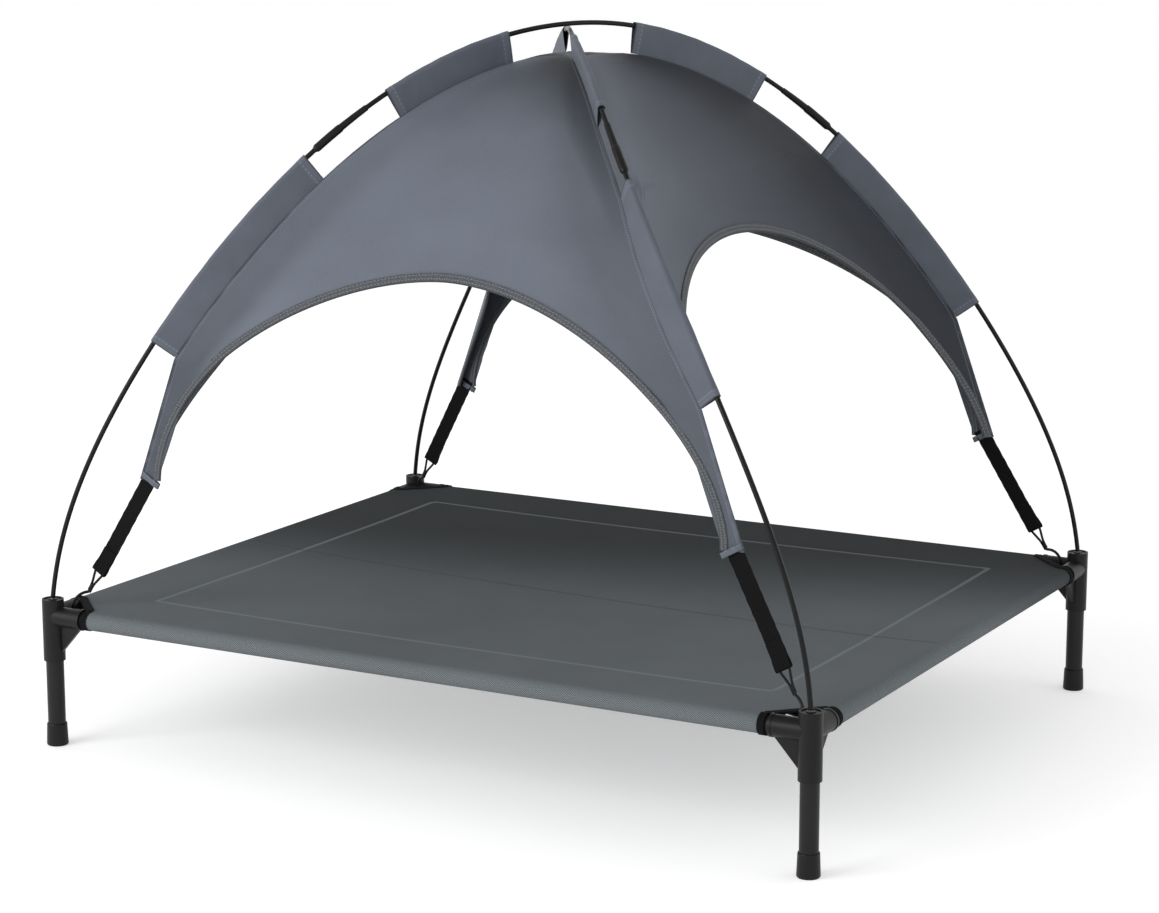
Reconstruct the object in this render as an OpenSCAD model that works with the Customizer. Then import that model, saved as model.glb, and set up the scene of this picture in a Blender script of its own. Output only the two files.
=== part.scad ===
// Raised dog bed: a cot of four rails and four legs, with a removable tent canopy
// on two crossed poles. The origin is on the floor under the centre, +X along the
// long side, +Y towards the back, +Z up.

/* [Bed frame] */
// Overall length, along X
bed_l = 1054.1; // [900:1:1200]
// Overall depth, along Y
bed_w = 876.3; // [760:1:1000]
// Height of the corner hubs' tops
hub_top = 187; // [170:1:230]
// Diameter of a corner hub and of a foot cap
hub_d = 27; // [26:0.5:30]
// Height of a corner hub
hub_h = 78; // [70:1:90]
// Diameter of a leg tube
leg_d = 22; // [20:0.5:23]
// Diameter of a rail tube
rail_d = 20; // [18:0.5:21]
// Height of the rails' axes
rail_z = 165; // [150:1:170]
// Reach of a hub's rail arms from the hub's axis
arm_reach = 47; // [44:1:60]
// Height of a foot cap
foot_h = 28; // [20:1:35]

/* [Bed fabric] */
// Thickness of the bed's woven sheet
sheet_t = 1.2; // [1:0.1:2]
// Distance from a hub's axis to the end of a fabric sleeve
sleeve_start = 52; // [50:1:70]
// How far the sheet's corners are cut back, measured along both rails together
corner_cut = 68; // [66:1:90]

/* [Canopy poles] */
// Overall height
total_h = 889; // [860:1:930]
// Diameter of a pole
pole_d = 6; // [5.4:0.1:6.4]
// Bore of a pole for the shock cord
pole_bore = 2.6; // [2.4:0.1:3]
// Diameter of the shock cord
cord_d = 1.8; // [1.5:0.1:2]
// Diameter of a ferrule
ferrule_d = 10.5; // [9:0.5:12]
// Length of a ferrule
ferrule_l = 68; // [50:1:80]
// Height of the ferrules' centres
ferrule_z = 766; // [750:1:780]
// Gap between the poles where one passes over the other
crossing_gap = 2; // [0.5:0.5:3]
// How far the lower pole bows to the left, behind the crossing
pole_bow = 27; // [0:1:30]
// Depth of the poles' sockets in the hubs
socket_depth = 40; // [30:1:42]

/* [Canopy] */
// Thickness of the canopy cloth across a panel's seam
cloth_t = 2; // [1.6:0.1:3]
// Width of a pole sleeve from the pole's axis to the hip seam
sleeve_w = 30; // [26:1:36]
// How much lower the crown hangs than the sleeves' seams
crown_dip = 20; // [10:1:26]
// Heights on the pole of the lower sleeves' ends
low_sleeve_z = [512, 732]; // [480:1:740]
// Heights on the pole of the upper sleeves' ends
top_sleeve_z = [806, 876]; // [800:1:878]
// Tip of a tongue: inward from the hub's axis along X and Y, and its height
tongue_tip = [116.5, 47.6, 340]; // [30:0.1:360]
// Doorway in the front and back: half width at the bottom and height of the arch
front_arch = [380, 264]; // [200:1:380]
// Doorway in the sides: half width at the bottom and height of the arch
side_arch = [365, 298]; // [200:1:370]
// How far the middle of the front and back panels pulls in
front_sag = 15; // [0:1:30]
// How far the middle of the side panels pulls in
side_sag = 35; // [0:1:45]
// Width of the tape that binds the doorways
tape_w = 8; // [6:1:9]

/* [Straps and hooks] */
// Width of the elastic webbing straps
strap_w = 20; // [15:1:22]
// Thickness of the straps
strap_t = 1.6; // [1:0.1:2]
// Wire diameter of the hooks
wire_d = 2.8; // [2.4:0.1:3.2]

/* [Hidden] */
CORNERS = ["front_left", "front_right", "back_right", "back_left"];
SIGNS = [[-1, -1], [1, -1], [1, 1], [-1, 1]];

$fn = 48;
hx = bed_l / 2 - hub_d / 2;
hy = bed_w / 2 - hub_d / 2;
fit_gap = 0.05;              // radial clearance of every sliding or plugged fit
shade_gap = 0.3;             // clearance between soft pieces
seam_gap = 0.03;             // clearance between two panels at a hip
leg_top = hub_top - socket_depth - 5;
tube_wall = 1.2;
arm_d = 25;
apex_a = total_h - pole_d / 2;
apex_b = apex_a - pole_d - crossing_gap;
pole_lean = [-19, -9.5, 180];
pole_mid = [-123, -22.6, 298];
apex_reach = 396;
apex_turn = 26.2;
hook_bar = arm_reach - 1;    // where the hook's bar meets the arms
rail_start = 18;             // where a rail's end stands, from the hub's axis
sleeve_in = rail_d / 2 + 0.4;
sleeve_out = sleeve_in + sheet_t;
arch_steps = 16;
// The strap's line, from a tongue's tip to the hook's eye, measured from the corner's own axis
hook_at = hook_bar / 2;      // the middle of the hook's bar, along X and along Y
hook_plane = 38;             // direction of the strap in plan, from the X side
arc_at = 12;                 // from the bar to the top of the hook's arc
arc_r = 20;
curl_r = 8;
neck_l = 12;
ring_l = 22;
hook_eye = [hook_at + arc_at * cos(hook_plane), hook_at + arc_at * sin(hook_plane), rail_z + curl_r + arc_r];
strap_dir = unit(tongue_tip - hook_eye);
strap_foot = hook_eye + (neck_l + ring_l) * strap_dir;

hub_color = [0.14, 0.14, 0.15];
steel_color = [0.19, 0.19, 0.20];
pole_color = [0.08, 0.08, 0.09];
mesh_color = [0.32, 0.35, 0.36];
cloth_color = [0.36, 0.40, 0.45];
tape_color = [0.30, 0.32, 0.34];
web_color = [0.10, 0.10, 0.11];

// ---- vectors and curves ----
function lerp(a, b, t) = a + (b - a) * t;
function unit(v) = v / norm(v);
function horizontal(v) = unit([v[0], v[1], 0]);

// One quarter of a pole, from the hub (t = 0) to the crossing (t = 1)
function pole_ctrl(apex) = let (p0 = [hx, hy, hub_top]) [
    p0,
    p0 + pole_lean,
    p0 + pole_mid,
    [apex_reach * sin(apex_turn), apex_reach * cos(apex_turn), apex],
    [0, 0, apex]
];
function bezier(p, t) = let (s = 1 - t)
    pow(s, 4) * p[0] + 4 * pow(s, 3) * t * p[1] + 6 * s * s * t * t * p[2]
    + 4 * s * pow(t, 3) * p[3] + pow(t, 4) * p[4];
function pole_pt(t, apex) = bezier(pole_ctrl(apex), t);
function pole_dir(t, apex) = let (a = max(t - 0.004, 0), b = min(t + 0.004, 1))
    unit(pole_pt(b, apex) - pole_pt(a, apex));
// Inward normal of a pole, in the upright plane through its run
function pole_in(t, apex) = let (d = pole_dir(t, apex))
    t > 0.996 ? [0, 0, -1] : d[2] * horizontal([d[0], d[1]]) - norm([d[0], d[1]]) * [0, 0, 1];
function t_at(z, apex, a = 0, b = 1, n = 14) = let (m = (a + b) / 2)
    n == 0 ? m : pole_pt(m, apex)[2] < z ? t_at(z, apex, m, b, n - 1) : t_at(z, apex, a, m, n - 1);

apex_mid = (apex_a + apex_b) / 2;
t_low = [for (z = low_sleeve_z) t_at(z, apex_mid)];
t_top = [for (z = top_sleeve_z) t_at(z, apex_mid)];
t_ferrule = t_at(ferrule_z, apex_mid);
t_crown = 0.994;

// The hip seam between two panels: straight over the tongue, then along the pole
function tongue_pt() = [hx - tongue_tip[0], hy - tongue_tip[1], tongue_tip[2]];
function seam_drop(t) = sleeve_w + crown_dip * pow(max(0, (t - t_top[1]) / (1 - t_top[1])), 1.5);
function hip_on_pole(t) = pole_pt(t, apex_mid) + seam_drop(t) * pole_in(t, apex_mid);
tongue_dir = unit(hip_on_pole(t_low[0]) - tongue_pt());
// Inward mitre between the two panels at a hip that runs along d: the cloth is 1 thick on both
function mitre(d) = let (a = unit([0, -d[2], d[1]]), b = unit([-d[2], 0, d[0]]), m = unit(a + b)) m / (m * a);
function hip(t, off = 0) = t >= t_low[0]
    ? hip_on_pole(t) + off * mitre(pole_dir(t, apex_mid))
    : lerp(tongue_pt(), hip_on_pole(t_low[0]), t / t_low[0]) + off * mitre(tongue_dir);
function hip_t(z, a = 0, b = 0.93, n = 14) = let (m = (a + b) / 2)
    n == 0 ? m : hip(m)[2] < z ? hip_t(z, m, b, n - 1) : hip_t(z, a, m, n - 1);

// The lower pole and its hips bow to the left near the crossing; s is -1 to 1 along the pole
bow_at = -0.12;
bow_half = 0.3;
function bow(s) = abs(s - bow_at) > bow_half ? 0 : pole_bow * pow(cos(90 * (s - bow_at) / bow_half), 2);
// The hip seam at corner i, in place; past the top sleeves all four hips run to one crown
function hip_bow(i, t) = i == 0 || i == 2 ? 0
    : bow(SIGNS[i][0] * (1 - t)) * min(1, (1 - t) / (1 - t_top[1]));
function corner_hip(i, t, off) = let (h = hip(t, off))
    [SIGNS[i][0] * h[0] - hip_bow(i, t), SIGNS[i][1] * h[1], h[2]];

// A point of panel k, which spans from corner k to the next; f runs from hip to hip
FACES = ["front", "right", "back", "left"];
INWARD = [[0, 1, 0], [-1, 0, 0], [0, -1, 0], [1, 0, 0]];
function bump(t) = sin(180 * pow(min(1, t), 0.8));
function panel_pt(k, t, f, off) = let (reach = 1 - seam_gap / hip(t)[k % 2])
    lerp(corner_hip(k, t, off), corner_hip((k + 1) % 4, t, off), (f * reach + 1) / 2)
    + (k % 2 == 0 ? front_sag : side_sag) * (1 - f * f) * bump(t) * INWARD[k];

// The doorway's arch as [panel fraction, t], for an angle from 0 to 180 along it
function arch_xz(k, a, grow) = let (size = k % 2 == 0 ? front_arch : side_arch, p = k % 2 == 0 ? 1.11 : 1)
    [-sign(cos(a)) * (size[0] + grow) * pow(abs(cos(a)), p),
     tongue_tip[2] + (size[1] + grow) * pow(sin(a), p)];
function arch_ft(k, a, grow) = let (xz = arch_xz(k, a, grow), t = hip_t(xz[1]))
    [xz[0] / hip(t)[k % 2], t];

// ---- mesh helpers ----
// A slab between two grids of points that have the same rows and columns
function grid_faces(rows, cols, base, flip) = [
    for (i = [0:rows - 2]) for (j = [0:cols - 2])
        let (a = base + i * cols + j, b = a + 1, c = a + cols, d = c + 1)
            each flip ? [[a, b, d], [a, d, c]] : [[a, d, b], [a, c, d]]
];
function side_faces(ring, n, flip) = [
    for (i = [0:len(ring) - 1])
        let (a = ring[i], b = ring[(i + 1) % len(ring)])
            each flip ? [[a, a + n, b], [b, a + n, b + n]] : [[a, b, a + n], [b, b + n, a + n]]
];
module slab(outer, inner, flip = false) {
    rows = len(outer);
    cols = len(outer[0]);
    n = rows * cols;
    ring = concat(
        [for (j = [0:cols - 1]) j],
        [for (i = [1:rows - 1]) i * cols + cols - 1],
        [for (j = [cols - 2:-1:0]) (rows - 1) * cols + j],
        [for (i = [rows - 2:-1:1]) i * cols]
    );
    polyhedron(
        points = concat([for (r = outer) each r], [for (r = inner) each r]),
        faces = concat(
            grid_faces(rows, cols, 0, flip),
            grid_faces(rows, cols, n, !flip),
            side_faces(ring, n, flip)
        ),
        convexity = 6
    );
}

// Two loops of points swept through frames [origin, u axis, v axis] as a hollow body
module hollow_sweep(frames, outer, inner) {
    m = len(frames);
    n = len(outer);
    q = len(inner);
    pts = concat(
        [for (f = frames) for (p = outer) f[0] + p[0] * f[1] + p[1] * f[2]],
        [for (f = frames) for (p = inner) f[0] + p[0] * f[1] + p[1] * f[2]]
    );
    walls = [for (i = [0:m - 2]) for (j = [0:n - 1])
        let (a = i * n + j, b = i * n + (j + 1) % n) each [[a, a + n, b], [b, a + n, b + n]]];
    bore = [for (i = [0:m - 2]) for (j = [0:q - 1])
        let (a = m * n + i * q + j, b = m * n + i * q + (j + 1) % q) each [[a, b, a + q], [b, b + q, a + q]]];
    ends = [for (j = [0:n - 1]) let (k = (j + 1) % n, e = (m - 1) * n, w = m * n, x = m * n + (m - 1) * q)
        each [[j, k, w + j], [k, w + k, w + j], [e + j, x + j, e + k], [e + k, x + j, x + k]]];
    polyhedron(points = pts, faces = concat(walls, bore, ends), convexity = 8);
}
module solid_sweep(frames, outline) {
    m = len(frames);
    n = len(outline);
    polyhedron(
        points = [for (f = frames) for (p = outline) f[0] + p[0] * f[1] + p[1] * f[2]],
        faces = concat(
            [[for (j = [0:n - 1]) j]],
            [[for (j = [n - 1:-1:0]) (m - 1) * n + j]],
            [for (i = [0:m - 2]) for (j = [0:n - 1])
                let (a = i * n + j, b = i * n + (j + 1) % n) each [[a, a + n, b], [b, a + n, b + n]]]
        ),
        convexity = 8
    );
}
function ngon(r, n) = [for (i = [0:n - 1]) r * [cos(360 * i / n), sin(360 * i / n)]];

// Frames along a whole pole: s runs from -1 at the left hub to 1 at the right hub.
// Pole a runs from the front left to the back right, pole b from back left to front right.
function pole_frame(s, b_pole) = let (
    apex = b_pole ? apex_b : apex_a,
    t = 1 - abs(s),
    e = s < 0 ? -1 : 1,
    k = [e, b_pole ? -e : e, 1],
    p = pole_pt(t, apex),
    n = pole_in(min(t, 0.98), apex),
    inward = t > 0.98 ? unit([n[0] * (1 - t) * 50, n[1] * (1 - t) * 50, n[2]]) : n,
    d = pole_dir(t, apex),
    o = [k[0] * p[0] - (b_pole ? bow(s) : 0), k[1] * p[1], p[2]],
    run = [-e * k[0] * d[0], -e * k[1] * d[1], -e * d[2]],
    u = [k[0] * inward[0], k[1] * inward[1], inward[2]]
) [o, u, cross(u, run)];
function pole_frames(s0, s1, n, b_pole) = [for (i = [0:n]) pole_frame(lerp(s0, s1, i / n), b_pole)];

// ---- corner pieces ----
module at_corner(i) {
    translate([SIGNS[i][0] * hx, SIGNS[i][1] * hy, 0])
        mirror([SIGNS[i][0] > 0 ? 1 : 0, 0, 0])
            mirror([0, SIGNS[i][1] > 0 ? 1 : 0, 0])
                children();
}
// A child drawn towards +X is repeated towards +Y
module both_arms() {
    children();
    mirror([1, -1, 0]) children();
}

module hub_shape() {
    gusset_reach = 42;
    gusset_t = 5;
    rim_h = 1.2;
    end_rim = 4;
    hub_bottom = hub_top - hub_h;
    gusset_bottom = hub_bottom + 12;
    difference() {
        union() {
            translate([0, 0, hub_bottom]) cylinder(h = hub_h - rim_h, d = hub_d);
            translate([0, 0, hub_top - rim_h])
                difference() {
                    cylinder(h = rim_h, d = hub_d);
                    translate([0, 0, -1]) cylinder(h = rim_h + 2, d = hub_d - 5);
                }
            translate([0, 0, hub_top - rim_h - 0.1]) cylinder(h = rim_h + 0.1, d = pole_d + 5);
            both_arms() {
                translate([0, 0, rail_z]) rotate([0, 90, 0]) cylinder(h = arm_reach, d = arm_d);
                translate([arm_reach - end_rim, 0, rail_z]) rotate([0, 90, 0])
                    cylinder(h = end_rim, d = arm_d + 1.4);
                translate([0, gusset_t / 2, 0]) rotate([90, 0, 0]) linear_extrude(gusset_t)
                    polygon([[0, rail_z], [gusset_reach, rail_z], [gusset_reach, rail_z - arm_d / 2],
                             [hub_d / 2, gusset_bottom], [0, gusset_bottom]]);
            }
            hook_rib();
        }
        translate([0, 0, hub_bottom - 1]) cylinder(h = leg_top - hub_bottom + 1, r = leg_d / 2 + fit_gap);
        translate([0, 0, hub_top - socket_depth]) cylinder(h = socket_depth + 1, r = pole_d / 2 + fit_gap);
        both_arms()
            translate([rail_start, 0, rail_z]) rotate([0, 90, 0])
                cylinder(h = arm_reach, r = rail_d / 2 + fit_gap);
    }
}
// A round bar from arm to arm across the hub's inner corner, which a strap hook grips
module hook_rib() {
    reach = hook_bar * sqrt(2);
    difference() {
        translate([hook_bar, 0, rail_z]) rotate([0, 0, 135]) rotate([0, 90, 0]) cylinder(h = reach, d = 5);
        both_arms()
            translate([-1, 0, rail_z]) rotate([0, 90, 0]) cylinder(h = arm_reach + 9, d = arm_d - 2);
    }
}
module corner_hub(i) color(hub_color) at_corner(i) hub_shape();

module leg_tube(i) color(steel_color) at_corner(i)
    translate([0, 0, 3])
        difference() {
            cylinder(h = leg_top - 3, d = leg_d);
            translate([0, 0, -1]) cylinder(h = leg_top, d = leg_d - 2 * tube_wall);
        }

module foot_cap(i) color(hub_color) at_corner(i)
    rotate_extrude() {
        r = hub_d / 2;
        bore = leg_d / 2 + fit_gap;
        polygon([[0, 0], [r - 1, 0], [r, 1.5], [r - 1, foot_h - 1], [r - 1.5, foot_h], [bore, foot_h],
                 [bore, 3], [0, 3]]);
    }

// ---- rails and bed fabric ----
module along_x(y) translate([-hx, y, rail_z]) rotate([0, 90, 0]) children();
module along_y(x) translate([x, -hy, rail_z]) rotate([-90, 0, 0]) children();
module tube(start, length, r_out, r_in)
    translate([0, 0, start])
        difference() {
            cylinder(h = length - 2 * start, r = r_out);
            translate([0, 0, -1]) cylinder(h = length, r = r_in);
        }
module rail(length) color(steel_color) tube(rail_start, length, rail_d / 2, rail_d / 2 - tube_wall);
module bed_sleeve(length) color(mesh_color) tube(sleeve_start, length, sleeve_out, sleeve_in);

// The sheet lies on the sleeves' tops, with its corners cut off
module bed_sheet() color(mesh_color) {
    top = rail_z + sleeve_out;
    edge = sqrt(pow(sleeve_out, 2) - pow(sleeve_out - sheet_t, 2)) + 0.2;
    x = hx - edge;
    y = hy - edge;
    cut = corner_cut - edge;
    translate([0, 0, top - sheet_t]) linear_extrude(sheet_t)
        polygon([[-x + cut, -y], [x - cut, -y], [x, -y + cut], [x, y - cut],
                 [x - cut, y], [-x + cut, y], [-x, y - cut], [-x, -y + cut]]);
}
// Black tape round the cut corners of the sheet
module corner_binding() color(web_color) {
    edge = 7;
    run = (corner_cut - 2 * edge) * sqrt(2);
    for (i = [0:3])
        at_corner(i)
            translate([corner_cut - edge, edge, rail_z + sleeve_out + 0.05]) rotate([0, 0, 135])
                translate([0, -10, 0]) cube([run, 10, 1]);
}

// ---- canopy poles ----
ferrule_dt = ferrule_l / 2 / 1090;
module pole_section(s0, s1, rings, b_pole) color(pole_color)
    hollow_sweep(pole_frames(s0, s1, rings, b_pole), ngon(pole_d / 2, 10), ngon(pole_bore / 2, 10));
module pole_end(side, b_pole) {
    t0 = 0.003;
    joint = 1 - t_ferrule + 0.0004;
    if (side < 0)
        pole_section(-1 + t0, -joint, 28, b_pole);
    else
        pole_section(joint, 1 - t0, 28, b_pole);
}
module pole_middle(b_pole) pole_section(-(1 - t_ferrule), 1 - t_ferrule, 30, b_pole);
module ferrules(b_pole) color(pole_color) {
    r_in = pole_d / 2 + 0.15;
    for (side = [-1, 1]) {
        s = side * (1 - t_ferrule);
        hollow_sweep(pole_frames(s - ferrule_dt, s + ferrule_dt, 6, b_pole),
                     ngon(ferrule_d / 2, 12), ngon(r_in, 12));
    }
}
module shock_cord(b_pole) color("white")
    solid_sweep(pole_frames(-0.99, 0.99, 72, b_pole), ngon(cord_d / 2, 6));
// Round steel pins in the poles' ends, which stand in the hubs' sockets
module pole_tips() color(steel_color)
    for (i = [0:3])
        at_corner(i)
            translate([0, 0, hub_top - socket_depth]) cylinder(h = socket_depth + 1, d = pole_d);

// ---- canopy cloth ----
// Columns run from the doorway's edge up to the crown; the outer two follow the hips
function column_foot(k, j) = j == 0 ? [-1, 0] : j == arch_steps + 2 ? [1, 0]
    : arch_ft(k, 180 * (j - 1) / arch_steps, tape_w);
function panel_grid(k, rows, off) = [
    for (i = [0:rows]) [
        for (j = [0:arch_steps + 2])
            let (foot = column_foot(k, j), top = [lerp(-1, 1, j / (arch_steps + 2)), t_crown],
                 ft = lerp(foot, top, i / rows))
                panel_pt(k, ft[1], ft[0], off)
    ]
];
module canopy_panel(k) color(cloth_color) slab(panel_grid(k, 11, 0), panel_grid(k, 11, cloth_t));
function tape_grid(k, off) = [
    for (grow = [0, tape_w - shade_gap]) [
        for (j = [0:arch_steps])
            let (ft = arch_ft(k, 180 * j / arch_steps, grow)) panel_pt(k, ft[1], ft[0], off)
    ]
];
module doorway_binding(k) color(tape_color) slab(tape_grid(k, -0.4), tape_grid(k, cloth_t + 0.4));

// A pole sleeve: a teardrop of cloth round the pole, closed along the hip seam
function teardrop(r, reach, half) = concat(
    [[reach, half]],
    [for (a = [60:30:300]) r * [cos(a), sin(a)]],
    [[reach, -half]]
);
module pole_sleeve(i, ts, rings) color(cloth_color) {
    b_pole = i == 1 || i == 3;
    side = SIGNS[i][0];
    s = side < 0 ? [-(1 - ts[0]), -(1 - ts[1])] : [1 - ts[1], 1 - ts[0]];
    reach = sleeve_w - shade_gap - 3;
    hollow_sweep(pole_frames(s[0], s[1], rings, b_pole),
                 teardrop(pole_d / 2 + 1.6, reach, 1.1), teardrop(pole_d / 2 + 0.6, reach - 2, 0.2));
}

// ---- straps and hooks ----
// Draws its children with +Z along the strap and +X across the webbing
module on_strap(origin) {
    w = unit([1, 0, 0] - strap_dir[0] * strap_dir);
    v = cross(strap_dir, w);
    multmatrix([[w[0], v[0], strap_dir[0], origin[0]], [w[1], v[1], strap_dir[1], origin[1]],
                [w[2], v[2], strap_dir[2], origin[2]], [0, 0, 0, 1]])
        children();
}
module elastic_strap(i) color(web_color) at_corner(i)
    on_strap(strap_foot)
        translate([-strap_w / 2, -strap_t / 2, 0])
            cube([strap_w, strap_t, norm(tongue_tip - strap_foot) - 2]);

module wire_arc(r, from, to) rotate([0, 0, from]) rotate_extrude(angle = to - from)
    translate([r, 0]) circle(d = wire_d, $fn = 24);
// A wire hook: a triangular eye for the strap, a straight neck and a curl under the bar
module strap_hook(i) color(pole_color) at_corner(i) {
    on_strap(hook_eye) {
        half = strap_w / 2;
        eye_top = neck_l + ring_l - 0.4;
        translate([0, 0, -1]) cylinder(h = neck_l + 3, d = wire_d, $fn = 24);
        translate([0, wire_d / 2, 0]) rotate([90, 0, 0]) linear_extrude(wire_d) difference() {
            polygon([[-1.6, neck_l - 2], [1.6, neck_l - 2], [half, eye_top - 3], [half, eye_top],
                     [-half, eye_top], [-half, eye_top - 3]]);
            polygon([[0, neck_l + 4], [half - 2 * wire_d, eye_top - wire_d], [2 * wire_d - half, eye_top - wire_d]]);
        }
    }
    translate([hook_at, hook_at, rail_z]) rotate([0, 0, hook_plane]) rotate([90, 0, 0]) {
        translate([arc_at, curl_r]) wire_arc(arc_r, 90, 180);
        translate([-curl_r, 0]) rotate([-90, 0, 0]) cylinder(h = curl_r, d = wire_d, $fn = 24);
        wire_arc(curl_r, 180, 330);
    }
}

// ---- the pieces ----
for (i = [0:3]) {
    corner_hub(i);
    leg_tube(i);
    foot_cap(i);
    strap_hook(i);
    elastic_strap(i);
    pole_sleeve(i, t_low, 10);
    pole_sleeve(i, t_top, 7);
}
along_x(-hy) rail(2 * hx);  // rail_front
along_x(hy) rail(2 * hx);  // rail_back
along_y(-hx) rail(2 * hy);  // rail_left
along_y(hx) rail(2 * hy);  // rail_right
bed_sheet();
along_x(-hy) bed_sleeve(2 * hx);  // bed_sleeve_front
along_x(hy) bed_sleeve(2 * hx);  // bed_sleeve_back
along_y(-hx) bed_sleeve(2 * hy);  // bed_sleeve_left
along_y(hx) bed_sleeve(2 * hy);  // bed_sleeve_right
corner_binding();
pole_end(-1, false);  // pole_a_left
pole_middle(false);  // pole_a_middle
pole_end(1, false);  // pole_a_right
pole_end(-1, true);  // pole_b_left
pole_middle(true);  // pole_b_middle
pole_end(1, true);  // pole_b_right
ferrules(false);  // ferrules_pole_a
ferrules(true);  // ferrules_pole_b
pole_tips();
shock_cord(false);  // shock_cord_a
shock_cord(true);  // shock_cord_b
for (k = [0:3]) {
    canopy_panel(k);
    doorway_binding(k);
}
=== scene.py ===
"""Fabric, webbing, wire and finishes for a raised dog bed with a tent canopy."""

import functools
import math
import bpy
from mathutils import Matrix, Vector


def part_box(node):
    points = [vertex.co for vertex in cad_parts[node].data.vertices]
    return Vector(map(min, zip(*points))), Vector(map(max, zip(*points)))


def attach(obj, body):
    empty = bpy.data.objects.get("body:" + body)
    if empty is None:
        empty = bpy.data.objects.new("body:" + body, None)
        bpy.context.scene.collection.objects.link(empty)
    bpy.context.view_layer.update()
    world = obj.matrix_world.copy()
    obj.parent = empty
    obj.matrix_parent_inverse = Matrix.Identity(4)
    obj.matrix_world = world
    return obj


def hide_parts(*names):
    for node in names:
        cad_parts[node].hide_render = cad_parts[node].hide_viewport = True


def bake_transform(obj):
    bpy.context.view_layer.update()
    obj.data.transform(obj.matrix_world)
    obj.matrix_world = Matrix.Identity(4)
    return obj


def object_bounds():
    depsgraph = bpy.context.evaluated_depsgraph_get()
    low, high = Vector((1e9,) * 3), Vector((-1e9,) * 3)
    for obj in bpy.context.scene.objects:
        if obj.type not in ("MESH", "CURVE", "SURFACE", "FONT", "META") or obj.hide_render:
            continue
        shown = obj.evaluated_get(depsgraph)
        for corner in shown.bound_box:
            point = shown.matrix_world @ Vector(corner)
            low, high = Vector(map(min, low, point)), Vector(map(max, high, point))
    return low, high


bl_info = {
    "name": "Raised Dog Bed with Canopy",
    "version": (1, 0, 0),
    "blender": (4, 5, 0),
    "location": "View3D > Sidebar > Dog Bed",
    "description": "Makes the cloth, straps, wire and finishes of a raised dog bed with a tent canopy",
    "category": "Add Mesh",
}

import bpy
from mathutils import Vector, noise

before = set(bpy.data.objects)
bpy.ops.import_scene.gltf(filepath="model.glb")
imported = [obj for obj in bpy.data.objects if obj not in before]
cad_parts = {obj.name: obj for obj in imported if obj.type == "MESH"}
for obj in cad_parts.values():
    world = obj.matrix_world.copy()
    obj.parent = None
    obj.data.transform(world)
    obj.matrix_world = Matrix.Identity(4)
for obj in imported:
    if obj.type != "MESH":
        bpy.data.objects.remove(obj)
CAD_LOW, CAD_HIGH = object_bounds()

CORNERS = ("front_left", "front_right", "back_right", "back_left")
SIGNS = ((-1, -1), (1, -1), (1, 1), (-1, 1))
FACES = ("front", "right", "back", "left")
INWARD = (Vector((0, 1, 0)), Vector((-1, 0, 0)), Vector((0, -1, 0)), Vector((1, 0, 0)))

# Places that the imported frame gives
HUB_RADIUS = (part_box("foot_cap_front_left")[1].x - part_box("foot_cap_front_left")[0].x) / 2
HUB_X = CAD_HIGH.x - HUB_RADIUS
HUB_Y = CAD_HIGH.y - HUB_RADIUS
HUB_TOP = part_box("corner_hub_front_left")[1].z
TOP = CAD_HIGH.z
SHEET_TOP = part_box("bed_sheet")[1].z
ROLL_RADIUS = (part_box("bed_sleeve_front")[1].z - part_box("bed_sleeve_front")[0].z) / 2
RAIL_Z = SHEET_TOP - ROLL_RADIUS

# The poles' and the canopy's lines, as the frame's source has them
POLE_RADIUS = 0.003
APEX_A = TOP - POLE_RADIUS
APEX_B = APEX_A - 2 * POLE_RADIUS - 0.002
APEX_MID = (APEX_A + APEX_B) / 2
POLE_LEAN = Vector((-0.019, -0.0095, 0.180))
POLE_MIDDLE = Vector((-0.123, -0.0226, 0.298))
APEX_REACH = 0.396
APEX_TURN = math.radians(26.2)
BOW = 0.027
BOW_AT = -0.12
BOW_HALF = 0.3
SLEEVE_W = 0.030
CROWN_DIP = 0.020
LOW_SLEEVE_Z = (0.512, 0.732)
TOP_SLEEVE_Z = (0.806, 0.876)
FERRULE_Z = 0.766
TONGUE_TIP = Vector((0.1165, 0.0476, 0.340))
FRONT_ARCH = (0.380, 0.264, 1.11)
SIDE_ARCH = (0.365, 0.298, 1.0)
FRONT_SAG = 0.015
SIDE_SAG = 0.035
TAPE_W = 0.008
SEAM_PULL = 0.010            # how far the taut front panel pulls the front right sleeve's seam
FLAP_FOLD = 0.80             # how steeply a tongue's side flap folds in behind its hip
FLAP_REACH = 0.060           # how far from the hip the fold goes on
TOP_SHORT = 0.020            # how much earlier the front left upper sleeve ends
TONGUE_SPREAD = 0.013        # how far a tongue's hip stands outward of its strap's middle

# The straps' and hooks' lines, measured inward from a corner's own axis
HOOK_AT = 0.023
HOOK_PLANE = math.radians(38)
ARC_AT = 0.012
ARC_R = 0.020
CURL_R = 0.008
NECK = 0.012
RING = 0.022
STRAP_W = 0.020
WIRE_D = 0.0028
EYE_BAR = NECK + RING - WIRE_D / 2 - 0.0004   # from a hook's neck to the wire its strap goes round


# ---- the frame's curves -------------------------------------------------------------
def mix(a, b, t):
    return a + (b - a) * t


def rise(value, start, end):
    """A smooth rise from 0 at start to 1 at end."""
    q = min(1, max(0, (value - start) / (end - start)))
    return q * q * (3 - 2 * q)


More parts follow.
